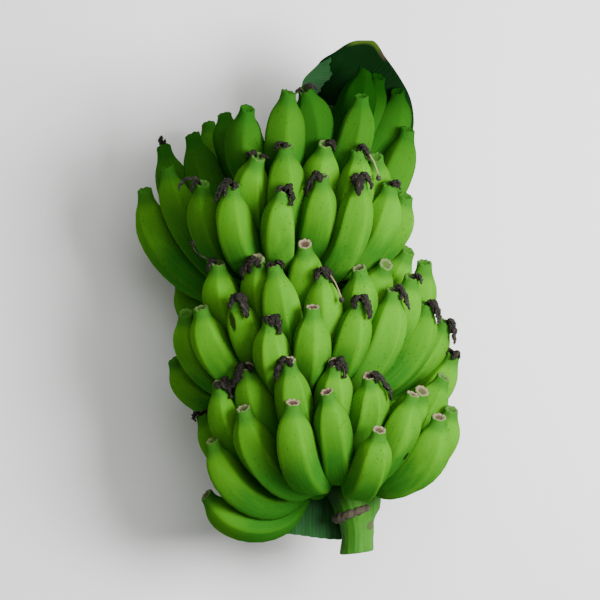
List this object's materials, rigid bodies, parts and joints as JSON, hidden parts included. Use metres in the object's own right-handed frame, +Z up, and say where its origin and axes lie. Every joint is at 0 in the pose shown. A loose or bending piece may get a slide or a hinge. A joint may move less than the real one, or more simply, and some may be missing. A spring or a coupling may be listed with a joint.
{
  "type": "plantain bunch",
  "caption": "Whole bunch of short green plantains on its cut stalk, lying on its back, with a dark hooded leaf at the top and a scrap of sheath at the foot.",
  "frame": {"origin": "middle of the bunch's outline, on the surface that it lies on", "axes": "+Y along the stalk, from its cut lower end towards the end that the tips point to; +Z up from the surface, out of the side that faces the viewer; +X to that viewer's right"},
  "size_m": [0.3414, 0.5378, 0.2928],
  "materials": {
    "stalk": "fresh green stem, ribbed lengthwise, slightly waxy",
    "peel": "unripe green peel, waxy and softly shiny, with dark specks and dried brown tips",
    "leaf": "dark green leaf, matt, with fine parallel veins",
    "bract": "dark blue-green dried sheath, matt, striped lengthwise"
  },
  "bodies": {
    "root": {"stalk": "stalk", "hand_1_front": "peel", "hand_2_front": "peel", "hand_3_front": "peel", "hand_4_front": "peel", "hand_5_back": "peel", "hand_6_back": "peel", "hand_7_back": "peel", "top_leaf": "leaf", "lower_bract": "bract"}
  },
  "joints": []
}
